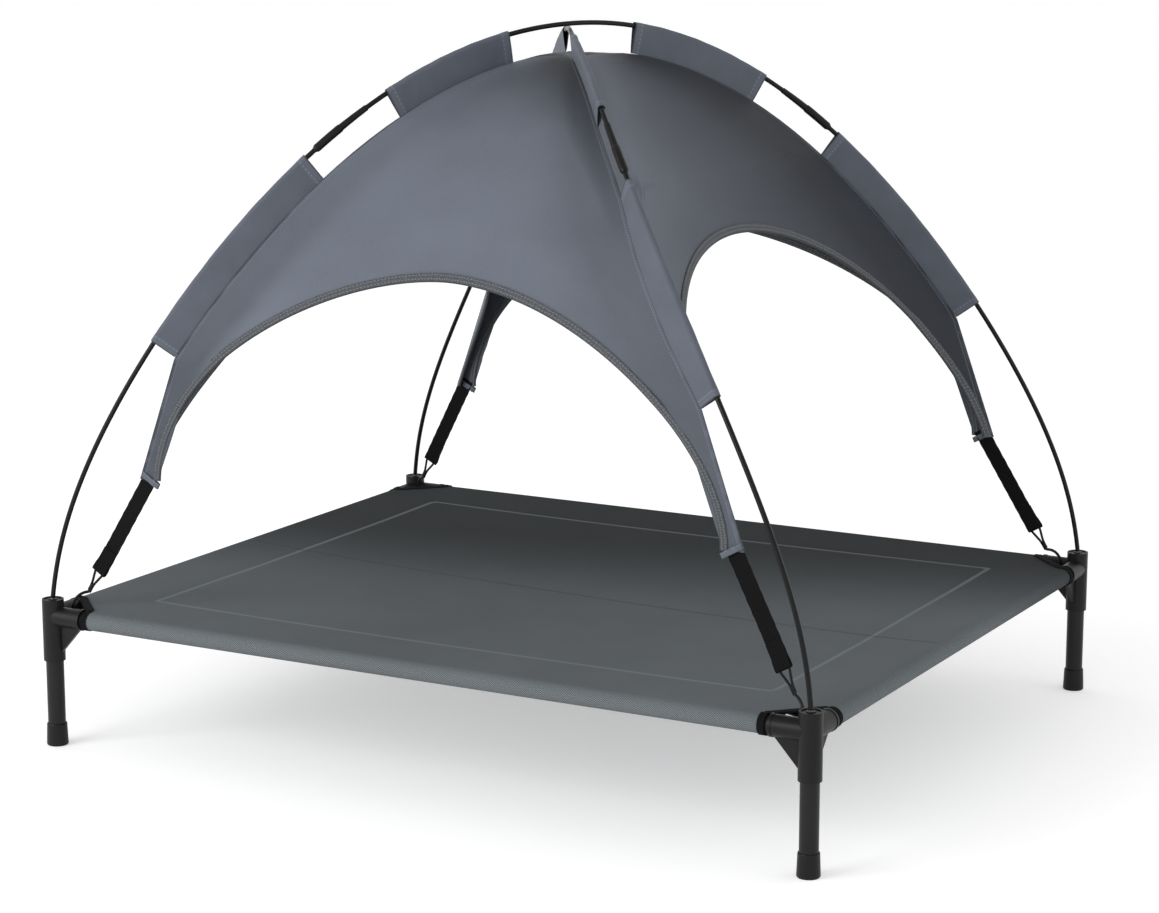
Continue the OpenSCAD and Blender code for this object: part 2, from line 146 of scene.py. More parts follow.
@functools.lru_cache(None)
def pole_point(t, apex=APEX_MID):
    """A point on half a pole, from the hub at t = 0 to the crossing at t = 1."""
    base = Vector((HUB_X, HUB_Y, HUB_TOP))
    reach = Vector((APEX_REACH * math.sin(APEX_TURN), APEX_REACH * math.cos(APEX_TURN), apex))
    points = (base, base + POLE_LEAN, base + POLE_MIDDLE, reach, Vector((0, 0, apex)))
    spot = Vector((0, 0, 0))
    for n, point in enumerate(points):
        spot += math.comb(4, n) * (1 - t) ** (4 - n) * t ** n * point
    return spot


@functools.lru_cache(None)
def pole_direction(t, apex=APEX_MID):
    return (pole_point(min(t + 0.004, 1), apex) - pole_point(max(t - 0.004, 0), apex)).normalized()


def pole_inward(t, apex=APEX_MID):
    """The inward normal of a pole, in the upright plane through its run."""
    run = pole_direction(t, apex)
    if t > 0.996:
        return Vector((0, 0, -1))
    level = Vector((run.x, run.y, 0))
    return run.z * level.normalized() - level.length * Vector((0, 0, 1))


def share_at(line, height, high=1.0):
    """The share along a rising line, up to high, where it stands at this height."""
    low = 0.0
    for _ in range(20):
        middle = (low + high) / 2
        if line(middle).z < height:
            low = middle
        else:
            high = middle
    return low


T_LOW = [share_at(pole_point, z) for z in LOW_SLEEVE_Z]
T_TOP = [share_at(pole_point, z) for z in TOP_SLEEVE_Z]
T_FERRULE = share_at(pole_point, FERRULE_Z)
HIP_END = 0.93               # the share of a hip that doorways can reach up to


def seam_drop(t):
    return SLEEVE_W + CROWN_DIP * max(0, (t - T_TOP[1]) / (1 - T_TOP[1])) ** 1.5


def hip_on_pole(t):
    return pole_point(t) + seam_drop(t) * pole_inward(t)


@functools.lru_cache(None)
def hip(t):
    """The hip seam: straight over the tongue, then along the pole."""
    if t >= T_LOW[0]:
        return hip_on_pole(t)
    tip = Vector((HUB_X - TONGUE_TIP.x, HUB_Y - TONGUE_TIP.y, TONGUE_TIP.z))
    return mix(tip, hip_on_pole(T_LOW[0]), t / T_LOW[0])


@functools.lru_cache(None)
def hip_t(height):
    return share_at(hip, height, HIP_END)


def bow(s):
    """How far the lower pole bows to the left; s runs from -1 to 1 along the pole."""
    if abs(s - BOW_AT) > BOW_HALF:
        return 0.0
    return BOW * math.cos(math.pi / 2 * (s - BOW_AT) / BOW_HALF) ** 2


def spread(t):
    """How far outward a tongue's hip stands, most at the tip."""
    return TONGUE_SPREAD * max(0, 1 - t / T_LOW[0])


def corner_hip(i, t):
    spot = hip(t)
    fade = min(1, (1 - t) / (1 - T_TOP[1]))
    shift = bow(SIGNS[i][0] * (1 - t)) * fade if i in (1, 3) else 0
    if i == 1 and T_LOW[0] < t < T_LOW[1]:
        shift += SEAM_PULL * math.sin(math.pi * (t - T_LOW[0]) / (T_LOW[1] - T_LOW[0]))
    shift -= SIGNS[i][0] * spread(t)
    return Vector((SIGNS[i][0] * spot.x - shift, SIGNS[i][1] * spot.y, spot.z))


def panel_point(k, f, t):
    """A point of panel k, which spans from corner k to the next one; f is -1 to 1."""
    sag = SIDE_SAG if k % 2 else FRONT_SAG
    fill = math.sin(math.pi * min(1, t) ** 0.8)
    line = mix(corner_hip(k, t), corner_hip((k + 1) % 4, t), (f + 1) / 2)
    fold = 0.0
    if k % 2 and t < T_LOW[1]:
        beside = (1 - abs(f)) * hip(t).y
        fold = FLAP_FOLD * min(beside, FLAP_REACH) * (1 - t / T_LOW[1]) ** 0.7
    return line + (sag * (1 - f * f) * fill + fold) * INWARD[k]


def panel_normal(k, f, t):
    step = 0.004
    across = panel_point(k, f + step, t) - panel_point(k, f - step, t)
    along = panel_point(k, f, t + step) - panel_point(k, f, max(0, t - step))
    return across.cross(along).normalized()


@functools.lru_cache(None)
def arch_spot(k, share, grow):
    """The doorway's edge as (f, t) for a share from 0 to 1 along the arch."""
    half, height, power = SIDE_ARCH if k % 2 else FRONT_ARCH
    angle = math.pi * share
    reach = -math.copysign((half + grow) * abs(math.cos(angle)) ** power, math.cos(angle))
    t = hip_t(TONGUE_TIP.z + (height + grow) * math.sin(angle) ** power)
    return reach / (hip(t)[k % 2] + (0 if k % 2 else spread(t))), t


def pole_frame(s, pole):
    """Point, inward way and sideways way on pole a or b, for s from -1 (left hub) to 1."""
    apex = APEX_B if pole == "b" else APEX_A
    t = 1 - abs(s)
    end = -1 if s < 0 else 1
    turn = Vector((end, -end if pole == "b" else end, 1))
    spot = pole_point(t, apex) * turn
    spot.x -= bow(s) if pole == "b" else 0
    inward = pole_inward(min(t, 0.98), apex)
    if t > 0.98:
        inward = Vector((inward.x * (1 - t) * 50, inward.y * (1 - t) * 50, inward.z)).normalized()
    run = pole_direction(t, apex) * turn * -end
    way = inward * turn
    return spot, way, way.cross(run).normalized()


def at_corner(i, spot):
    """A spot measured inward from corner i's own axis, in place."""
    return Vector((SIGNS[i][0] * (HUB_X - spot[0]), SIGNS[i][1] * (HUB_Y - spot[1]), spot[2]))


# ---- modelling helpers --------------------------------------------------------------
def clear_selection():
    if bpy.context.object and bpy.context.object.mode != "OBJECT":
        bpy.ops.object.mode_set(mode="OBJECT")
    bpy.ops.object.select_all(action="DESELECT")


def make_active(obj):
    clear_selection()
    obj.select_set(True)
    bpy.context.view_layer.objects.active = obj


def shaped_grid(name, columns, rows, place, cloth=None, marks=None):
    """A grid whose points move to place(u, v), with u and v from 0 to 1. cloth(u, v) gives
    the cut cloth's own coordinates in metres, and marks the named measures kept on points."""
    clear_selection()
    bpy.ops.mesh.primitive_grid_add(x_subdivisions=columns, y_subdivisions=rows, size=1)
    obj = bpy.context.object
    obj.name = name
    mesh = obj.data
    spots = [(p.co.x + 0.5, p.co.y + 0.5) for p in mesh.vertices]
    if cloth:
        layer = mesh.uv_layers[0]
        for loop in mesh.loops:
            layer.data[loop.index].uv = cloth(*spots[loop.vertex_index])
    for label, measure in (marks or {}).items():
        values = mesh.attributes.new(label, "FLOAT", "POINT")
        for n, (u, v) in enumerate(spots):
            values.data[n].value = measure(u, v)
    for point, (u, v) in zip(mesh.vertices, spots):
        point.co = place(u, v)
    return obj


def join_pieces(name, pieces):
    clear_selection()
    for piece in pieces:
        piece.select_set(True)
    bpy.context.view_layer.objects.active = pieces[0]
    bpy.ops.object.join()
    obj = bpy.context.object
    obj.name = name
    return obj


def weld(obj, gap=0.00005, outward=False):
    make_active(obj)
    bpy.ops.object.mode_set(mode="EDIT")
    bpy.ops.mesh.select_all(action="SELECT")
    bpy.ops.mesh.remove_doubles(threshold=gap)
    if outward:
        bpy.ops.mesh.normals_make_consistent(inside=False)
    bpy.ops.object.mode_set(mode="OBJECT")


def apply_modifier(obj, kind, **settings):
    make_active(obj)
    modifier = obj.modifiers.new(kind.title(), kind)
    for key, value in settings.items():
        setattr(modifier, key, value)
    bpy.ops.object.modifier_apply(modifier=modifier.name)


def smooth(obj, angle=40):
    make_active(obj)
    bpy.ops.object.shade_smooth_by_angle(angle=math.radians(angle))


def finish_piece(obj, body, slot, nodes=(), finish=None):
    """Put a finished piece on its body, with its finish and the CAD nodes it stands for."""
    obj.data.materials.clear()
    obj.data.materials.append(material(finish or slot))
    if body:
        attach(obj, body)
    if nodes:
        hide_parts(*nodes)
    return obj


def tube_along(name, spots, radius, around=16, taper=None):
    """A round closed tube through spots, drawn as a curve with a bevel and made a mesh."""
    clear_selection()
    bpy.ops.curve.primitive_nurbs_path_add(location=(0, 0, 0))
    obj = bpy.context.object
    obj.name = name
    curve = obj.data
    curve.splines.clear()
    spline = curve.splines.new("POLY")
    spline.points.add(len(spots) - 1)
    for n, spot in enumerate(spots):
        spline.points[n].co = (*spot, 1)
        spline.points[n].radius = taper(n / (len(spots) - 1)) if taper else 1
    curve.dimensions = "3D"
    curve.bevel_depth = radius
    curve.bevel_resolution = around // 4
    curve.use_fill_caps = True
    curve.twist_mode = "MINIMUM"
    make_active(obj)
    bpy.ops.object.convert(target="MESH")
    obj = bpy.context.object
    weld(obj, outward=True)
    smooth(obj, 50)
    return obj


def rounded_line(corners, radius, steps=5):
    """The line through corners, with each inner corner rounded."""
    line = [corners[0]]
    for before, corner, after in zip(corners, corners[1:], corners[2:]):
        back, on = before - corner, after - corner
        cut = min(radius, back.length * 0.48, on.length * 0.48)
        start, end = corner + back.normalized() * cut, corner + on.normalized() * cut
        for n in range(steps + 1):
            q = n / steps
            line.append(mix(mix(start, corner, q), mix(corner, end, q), q))
    line.append(corners[-1])
    return line


# ---- finishes -----------------------------------------------------------------------
class Finish:
    """A new material and the few node steps that the finishes share."""

    def __init__(self, name, colour, roughness, **sockets):
        self.colour = colour
        self.material = bpy.data.materials.new(f"{name}_finish")
        self.material.use_nodes = True
        self.nodes = self.material.node_tree.nodes
        self.links = self.material.node_tree.links
        self.shader = self.nodes["Principled BSDF"]
        self.shader.inputs["Base Color"].default_value = (*colour, 1)
        self.shader.inputs["Roughness"].default_value = roughness
        self.shader.inputs["Specular IOR Level"].default_value = 0.2
        for key, value in sockets.items():
            self.shader.inputs[key.replace("_", " ")].default_value = value
        self.coordinates = self.nodes.new("ShaderNodeTexCoord")

    def link(self, source, target):
        self.links.new(source, target)
        return source

    def mapped(self, space, scale=(1, 1, 1), turn=0.0):
        node = self.nodes.new("ShaderNodeMapping")
        node.inputs["Scale"].default_value = scale
        node.inputs["Rotation"].default_value = (0, 0, turn)
        self.link(self.coordinates.outputs[space], node.inputs["Vector"])
        return node.outputs["Vector"]

    def noise(self, vector, scale, detail=3.0, roughness=0.55):
        node = self.nodes.new("ShaderNodeTexNoise")
        node.inputs["Scale"].default_value = scale
        node.inputs["Detail"].default_value = detail
        node.inputs["Roughness"].default_value = roughness
        self.link(vector, node.inputs["Vector"])
        return node.outputs["Fac"]

    def bands(self, vector, pitch, way="X", distortion=0.0):
        node = self.nodes.new("ShaderNodeTexWave")
        node.bands_direction = way
        node.inputs["Scale"].default_value = math.pi / 10 / pitch
        node.inputs["Distortion"].default_value = distortion
        node.inputs["Detail"].default_value = 1.0
        self.link(vector, node.inputs["Vector"])
        return node.outputs["Fac"]

    def sum(self, operation, first, second=None, third=None):
        node = self.nodes.new("ShaderNodeMath")
        node.operation = operation
        for socket, value in zip(node.inputs, (first, second, third)):
            if isinstance(value, (int, float)):
                socket.default_value = value
            elif value is not None:
                self.link(value, socket)
        return node.outputs[0]

    def ramp(self, value, low, high, to_low=0.0, to_high=1.0):
        node = self.nodes.new("ShaderNodeMapRange")
        for key, number in (("From Min", low), ("From Max", high), ("To Min", to_low), ("To Max", to_high)):
            node.inputs[key].default_value = number
        self.link(value, node.inputs["Value"])
        return node.outputs["Result"]

    def blend(self, factor, first, second):
        node = self.nodes.new("ShaderNodeMix")
        node.data_type = "RGBA"
        self.link(factor, node.inputs["Factor"])
        for socket, value in ((node.inputs[6], first), (node.inputs[7], second)):
            if isinstance(value, tuple):
                socket.default_value = (*value, 1)
            else:
                self.link(value, socket)
        return node.outputs[2]

    def measure(self, label):
        node = self.nodes.new("ShaderNodeAttribute")
        node.attribute_name = label
        return node.outputs["Fac"]

    def line(self, value, at, half):
        """1 on a line where value is close to at, and 0 away from it."""
        gap = self.sum("ABSOLUTE", self.sum("SUBTRACT", value, at))
        return self.ramp(gap, half, half * 0.4)

    def mottle(self, value, dark, light):
        """A tone between a darker and a lighter shade of the finish's own colour."""
        return self.blend(self.ramp(value, 0.3, 0.7), shade(self.colour, dark), shade(self.colour, light))

    def tint(self, tone, mask, share, factor):
        """tone, with a shade of the finish's own colour laid over it where mask is 1."""
        return self.blend(self.sum("MULTIPLY", mask, share), tone, shade(self.colour, factor))

    def paint(self, colour):
        self.link(colour, self.shader.inputs["Base Color"])

    def roughen(self, value):
        self.link(value, self.shader.inputs["Roughness"])

    def relief(self, height, depth, strength=1.0):
        node = self.nodes.new("ShaderNodeBump")
        node.inputs["Distance"].default_value = depth
        node.inputs["Strength"].default_value = strength
        self.link(height, node.inputs["Height"])
        self.link(node.outputs["Normal"], self.shader.inputs["Normal"])


def shade(colour, factor):
    return tuple(min(1, channel * factor) for channel in colour)


def plain_weave(finish, pitch):
    """Threads over and under each other, from 0 to 1, on the cut cloth's coordinates."""
    cloth = finish.mapped("UV")
    warp = finish.bands(cloth, pitch, "X", 0.4)
    weft = finish.bands(cloth, pitch, "Y", 0.4)
    return finish.sum("MAXIMUM", warp, weft)


def canopy_cloth():
    look = bpy.context.scene.dog_bed_finishes
    base = tuple(look.canopy_cloth)
    finish = Finish("canopy_cloth", base, 0.60, Sheen_Weight=0.05, Sheen_Roughness=0.45)
    cloth = finish.mapped("UV")
    soft = finish.noise(cloth, 7, 4)
    fine = finish.noise(cloth, 420, 2)
    weave = plain_weave(finish, 0.0009)
    tone = finish.mottle(soft, 0.90, 1.10)
    tone = finish.blend(finish.ramp(fine, 0.35, 0.65, 0, 0.5), tone, shade(base, 1.22))
    # Painted shade: darker cloth near the crown and beside the hips, where the panels' shading falls
    tone = finish.blend(finish.measure("hollow"), tone, shade(base, 0.16))
    seam = finish.line(finish.measure("hip"), 0.0, 0.0022)
    tone = finish.tint(tone, seam, 0.8, 0.35)
    thread = finish.line(finish.measure("hip"), 0.0055, 0.0009)
    dash = finish.ramp(finish.bands(finish.mapped("UV"), 0.0036, "Y"), 0.3, 0.6)
    stitch = finish.sum("MULTIPLY", thread, dash)
    tone = finish.tint(tone, stitch, 0.55, 1.7)
    finish.paint(tone)
    finish.roughen(finish.ramp(fine, 0.3, 0.7, 0.54, 0.70))
    height = finish.sum("MULTIPLY_ADD", weave, 0.35, finish.sum("MULTIPLY", fine, 0.4))
    height = finish.sum("MULTIPLY_ADD", seam, -1.2, height)
    finish.relief(height, 0.0004, 0.7)
    return finish.material


def sleeve_cloth():
    """The canopy's cloth on the pole sleeves, with a hem at each end of the sleeve."""
    look = bpy.context.scene.dog_bed_finishes
    base = shade(look.canopy_cloth, 0.84)
    finish = Finish("sleeve_cloth", base, 0.6, Sheen_Weight=0.05, Sheen_Roughness=0.45)
    cloth = finish.mapped("UV")
    soft = finish.noise(cloth, 16, 3)
    fine = finish.noise(cloth, 420, 2)
    end = finish.measure("end")
    tone = finish.mottle(soft, 0.86, 1.08)
    hem = finish.ramp(end, 0.0115, 0.0100)
    tone = finish.tint(tone, hem, 0.35, 1.30)
    dash = finish.ramp(finish.bands(cloth, 0.0036, "X"), 0.3, 0.6)
    stitch = finish.sum("MULTIPLY", finish.line(end, 0.0085, 0.0008), dash)
    tone = finish.tint(tone, stitch, 0.8, 2.0)
    edge = finish.ramp(end, 0.0022, 0.0008)
    tone = finish.tint(tone, edge, 0.8, 0.3)
    finish.paint(tone)
    height = finish.sum("MULTIPLY_ADD", plain_weave(finish, 0.0009), 0.35, finish.sum("MULTIPLY", fine, 0.4))
    height = finish.sum("MULTIPLY_ADD", stitch, -0.8, height)
    finish.relief(height, 0.0004, 0.7)
    return finish.material


def binding_tape():
    look = bpy.context.scene.dog_bed_finishes
    base = tuple(look.binding_tape)
    finish = Finish("binding_tape", base, 0.78, Sheen_Weight=0.06)
    cloth = finish.mapped("UV")
    rib = finish.bands(cloth, 0.0016, "X", 0.6)
    heather = finish.noise(finish.mapped("UV", (420, 900, 1)), 1, 2)
    tone = finish.blend(finish.ramp(heather, 0.35, 0.65), shade(base, 0.55), shade(base, 1.5))
    across = finish.measure("across")
    dash = finish.ramp(finish.bands(cloth, 0.0042, "X"), 0.25, 0.55)
    rows = finish.sum("MAXIMUM", finish.line(across, 0.0068, 0.0007), finish.line(across, 0.0026, 0.0007))
    stitch = finish.sum("MULTIPLY", rows, dash)
    tone = finish.tint(tone, stitch, 0.75, 2.6)
    tone = finish.blend(finish.ramp(across, 0.0012, 0.0002, 0, 0.6), tone, shade(base, 0.35))
    finish.paint(tone)
    height = finish.sum("MULTIPLY_ADD", stitch, -1.0, rib)
    finish.relief(height, 0.0003, 0.8)
    return finish.material


def bed_mesh():
    """Coated open-weave fabric with a herringbone of light and dark threads."""
    look = bpy.context.scene.dog_bed_finishes
    base = tuple(look.bed_mesh)
    finish = Finish("bed_mesh", base, 0.85, Specular_IOR_Level=0.05)
    slant_a = finish.bands(finish.mapped("UV", turn=math.radians(45)), 0.0017, "X", 0.3)
    slant_b = finish.bands(finish.mapped("UV", turn=math.radians(-45)), 0.0017, "X", 0.3)
    column = finish.ramp(finish.bands(finish.mapped("UV"), 0.0068, "X"), 0.49, 0.51)
    swap = finish.sum("MULTIPLY", finish.sum("SUBTRACT", slant_b, slant_a), column)
    thread = finish.sum("ADD", slant_a, swap)
    blotch = finish.noise(finish.mapped("Object"), 3.2, 4)
    fleck = finish.noise(finish.mapped("UV"), 520, 2)
    roll = finish.measure("roll")
    deep = finish.mottle(blotch, 0.88, 1.12)
    tone = finish.blend(finish.ramp(thread, 0.2, 0.8, 0.0, 0.22), deep, shade(base, 1.8))
    tone = finish.tint(tone, finish.ramp(thread, 0.65, 0.25), roll, 0.25)
    tone = finish.tint(tone, finish.ramp(thread, 0.45, 0.80), roll, 2.4)
    tone = finish.blend(finish.ramp(fleck, 0.4, 0.7, 0, 0.35), tone, shade(base, 0.7))
    # Painted shadow of the canopy, darkening the sheet towards its back left
    behind = finish.ramp(finish.measure("shade"), 0, 1, 0.0, 0.85)
    tone = finish.blend(behind, tone, shade(base, 0.22))
    seam = finish.line(finish.measure("seam"), 0.0, 0.0040)
    tone = finish.tint(tone, seam, 0.45, 2.0)
    # Painted shade: a dark line along the storage crease, which the sheet's shape does not fold
    crease = finish.line(finish.measure("crease"), 0.0, 0.0036)
    tone = finish.tint(tone, crease, 0.45, 0.45)
    finish.paint(tone)
    height = finish.sum("MULTIPLY_ADD", seam, -1.5, thread)
    finish.relief(height, 0.0004, 0.8)
    return finish.material


def ribbed_webbing(name, colour, pitch=0.0022):
    finish = Finish(name, colour, 0.85, Specular_IOR_Level=0.06)
    cloth = finish.mapped("UV")
    rib = finish.bands(cloth, pitch, "Y", 0.3)
    fine = finish.noise(finish.mapped("UV", (900, 300, 1)), 1, 2)
    tone = finish.blend(finish.ramp(rib, 0.2, 0.8), shade(colour, 0.55), shade(colour, 1.5))
    tone = finish.blend(finish.ramp(fine, 0.4, 0.7, 0, 0.5), tone, shade(colour, 1.9))
    finish.paint(tone)
    finish.relief(finish.sum("MULTIPLY_ADD", fine, 0.3, rib), 0.0005, 0.9)
    return finish.material


def moulded_plastic(name, colour):
    finish = Finish(name, colour, 0.42)
    place = finish.mapped("Object")
    grain = finish.noise(place, 900, 2)
    cloud = finish.noise(place, 22, 3)
    finish.paint(finish.mottle(cloud, 0.85, 1.25))
    finish.roughen(finish.ramp(cloud, 0.3, 0.7, 0.36, 0.5))
    finish.relief(grain, 0.00025, 0.5)
    return finish.material


def coated_steel(name, colour, roughness=0.36):
    finish = Finish(name, colour, roughness)
    place = finish.mapped("Object")
    peel = finish.noise(place, 420, 2)
    cloud = finish.noise(place, 14, 2)
    finish.paint(finish.mottle(cloud, 0.9, 1.15))
    finish.roughen(finish.ramp(peel, 0.3, 0.7, roughness - 0.06, roughness + 0.08))
    finish.relief(peel, 0.0002, 0.35)
    return finish.material


def bare_metal(name, colour, roughness=0.3):
    finish = Finish(name, colour, roughness, Metallic=1.0)
    scratch = finish.noise(finish.mapped("Object", (1, 1, 0.15)), 700, 2)
    finish.paint(finish.mottle(scratch, 0.8, 1.1))
    finish.roughen(finish.ramp(scratch, 0.3, 0.7, roughness - 0.08, roughness + 0.1))
    finish.relief(scratch, 0.0001, 0.3)
    return finish.material


def pale_floor():
    colour = (0.80, 0.80, 0.80)
    finish = Finish("pale_floor", colour, 0.9)
    cloud = finish.noise(finish.mapped("Object"), 0.8, 2)
    finish.paint(finish.mottle(cloud, 0.99, 1.01))
    finish.shader.inputs["Emission Color"].default_value = (1, 1, 1, 1)
    finish.shader.inputs["Emission Strength"].default_value = bpy.context.scene.dog_bed_finishes.floor_glow
    return finish.material


BLACK = (0.006, 0.006, 0.0065)
GLOSSY_BLACK = (0.004, 0.004, 0.0045)
MAKERS = {
    "canopy_cloth": canopy_cloth,
    "sleeve_cloth": sleeve_cloth,
    "binding_tape": binding_tape,
    "bed_mesh": bed_mesh,
    "black_tape": lambda: ribbed_webbing("black_tape", BLACK, 0.0016),
    "webbing": lambda: ribbed_webbing("webbing", BLACK),
    "hub_plastic": lambda: moulded_plastic("hub_plastic", tuple(bpy.context.scene.dog_bed_finishes.plastic)),
    "foot_plastic": lambda: moulded_plastic("foot_plastic", BLACK),
    "leg_steel": lambda: coated_steel("leg_steel", tuple(bpy.context.scene.dog_bed_finishes.steel)),
    "pole_rod": lambda: coated_steel("pole_rod", (0.003, 0.003, 0.0035), 0.32),
    "ferrule_sleeve": lambda: coated_steel("ferrule_sleeve", GLOSSY_BLACK, 0.42),
    "hook_wire": lambda: coated_steel("hook_wire", GLOSSY_BLACK, 0.28),
    "tip_steel": lambda: bare_metal("tip_steel", (0.5, 0.5, 0.52)),
    "cord_elastic": lambda: ribbed_webbing("cord_elastic", (0.55, 0.55, 0.55), 0.0012),
}


def material(name):
    return bpy.data.materials.get(f"{name}_finish") or MAKERS[name]()


# ---- canopy -------------------------------------------------------------------------
EDGE_SHARE = 1 / 18          # share of a panel's columns that lies beside each hip
UNDER_TAPE = TAPE_W * 0.4    # from the tape's folded edge to the cloth's own edge
LOOP_SHARE = 0.38            # share of a sleeve's cut width that lies flat on each side of the pole
FLAT_SHARE = 0.4             # share of a folded tape's width that lies flat on each side


def panel_spot(k, u, v):
    """(f, t) on panel k: u runs from hip to hip and v from the doorway to the crown."""
    share = (u - EDGE_SHARE) / (1 - 2 * EDGE_SHARE)
    foot = arch_spot(k, min(1.0, max(0.0, share)), UNDER_TAPE)
    from_hip = min(u, 1 - u) / EDGE_SHARE
    if from_hip < 1:
        foot = (mix(-1 if u < 0.5 else 1, foot[0], from_hip), mix(0, foot[1], from_hip))
    return mix(foot[0], mix(-1, 1, u), v), mix(foot[1], 1.0, v)


class DOGBED_OT_canopy(bpy.types.Operator):
    """Make the canopy: one curved sheet over four doorways, sewn along four hips"""

    bl_idname = "dogbed.canopy"
    bl_label = "Canopy"

    def execute(self, context):
        sizes = context.scene.dog_bed_sizes
        panels = []
        for k, face in enumerate(FACES):
            def place(u, v, k=k):
                return panel_point(k, *panel_spot(k, u, v))

            def cloth(u, v, k=k):
                f, t = panel_spot(k, u, v)
                return f * hip(t)[k % 2], t * 1.05

            def from_hip(u, v, k=k):
                f, t = panel_spot(k, u, v)
                return (1 - abs(f)) * hip(t)[k % 2]

            # Painted shade, from 0 to 1: how much the cloth is darkened near the crown and beside the hips
            def hollow(u, v, k=k):
                crown = rise(v, 0.45, 0.92)
                if k % 2:
                    return max(0.90 * rise(u, 0.10, 0.85), 0.25 * crown)
                beside = 0.50 * rise(u, 0.30, 0.04) * rise(v, 0.90, 0.30)
                return max(crown * rise(u, 0.0, 0.62), 0.36 * rise(u, 0.55, 0.80), beside)

            def slack(u, v):
                return min(1, v / 0.12) * min(1, u / 0.12, (1 - u) / 0.12) * min(1, (1 - v) / 0.08)

            marks = {"hip": from_hip, "slack": slack, "hollow": hollow}
            panels.append(shaped_grid(f"panel_{face}", 72, 46, place, cloth, marks))
        canopy = join_pieces("canopy", panels)
        weld(canopy)
        mesh = canopy.data
        slack = mesh.attributes["slack"].data
        normals = [point.normal.copy() for point in mesh.vertices]
        for n, point in enumerate(mesh.vertices):
            wide = noise.noise(point.co * 5.0 + Vector((3, 1, 7)))
            fold = noise.noise(Vector((point.co.x * 9, point.co.y * 9, point.co.z * 30)))
            point.co += normals[n] * slack[n].value * sizes.canopy_ripple * (wide + 0.5 * fold)
        apply_modifier(canopy, "SOLIDIFY", thickness=sizes.canopy_cloth, offset=-1)
        smooth(canopy, 55)
        finish_piece(canopy, "canopy", "canopy_cloth", [f"canopy_{face}" for face in FACES])
        return {"FINISHED"}


class DOGBED_OT_pole_sleeves(bpy.types.Operator):
    """Make the eight cloth sleeves that hang the canopy from its poles"""

    bl_idname = "dogbed.pole_sleeves"
    bl_label = "Pole Sleeves"

    def execute(self, context):
        sizes = context.scene.dog_bed_sizes
        for i, corner in enumerate(CORNERS):
            for level, heights in (("low", T_LOW), ("top", T_TOP)):
                short = TOP_SHORT if i == 0 and level == "top" else 0
                self.sleeve(f"{level}_sleeve", corner, i, (heights[0], heights[1] - short), sizes)
        return {"FINISHED"}

    def sleeve(self, label, corner, i, ts, sizes):
        pole = "b" if i in (1, 3) else "a"
        side = SIGNS[i][0]
        length = (hip_on_pole(ts[1]) - hip_on_pole(ts[0])).length
        loop = POLE_RADIUS + 0.0014
        hem = sizes.hem

        def place(u, v):
            t = mix(ts[0], ts[1], v)
            spot, _, way = pole_frame(side * (1 - t), pole)
            to_hip = corner_hip(i, t) - spot
            reach = to_hip.length + 0.0004
            inward = to_hip.normalized()
            from_end = min(v, 1 - v) * length
            puff = 0.00025 * (from_end < hem) + 0.0002 * math.sin(37 * v) * math.sin(11 * v + i)
            if LOOP_SHARE < u < 1 - LOOP_SHARE:
                angle = math.pi / 2 + math.pi * (u - LOOP_SHARE) / (1 - 2 * LOOP_SHARE)
                return spot + (loop + puff) * (inward * math.cos(angle) + way * math.sin(angle))
            q = min(u, 1 - u) / LOOP_SHARE
            face = 1 if u <= LOOP_SHARE else -1
            width = mix(0.0005, loop, q ** 0.8) + puff * math.sin(math.pi * min(1, q + 0.2))
            return spot + inward * reach * (1 - q) + way * face * width

        sleeve = shaped_grid(
            f"{label}_{corner}_cloth", 40, 64, place, lambda u, v: (u * 2 * SLEEVE_W, v * length),
            {"end": lambda u, v: min(v, 1 - v) * length},
        )
        weld(sleeve, 0.00001)
        self.face_outward(sleeve, i, mix(ts[0], ts[1], 0.5), pole)
        apply_modifier(sleeve, "SOLIDIFY", thickness=sizes.sleeve_cloth, offset=-1)
        smooth(sleeve, 60)
        finish_piece(sleeve, "canopy", "canopy_cloth", [f"{label}_{corner}"], "sleeve_cloth")

    def face_outward(self, sleeve, i, t, pole):
        """Turn the faces over if the side beyond the pole looks inward."""
        spot, way, _ = pole_frame(SIGNS[i][0] * (1 - t), pole)
        nearest = min(sleeve.data.polygons, key=lambda face: (face.center - (spot - way * 0.0044)).length)
        if nearest.normal.dot(way) > 0:
            make_active(sleeve)
            bpy.ops.object.mode_set(mode="EDIT")
            bpy.ops.mesh.select_all(action="SELECT")
            bpy.ops.mesh.flip_normals()
            bpy.ops.object.mode_set(mode="OBJECT")


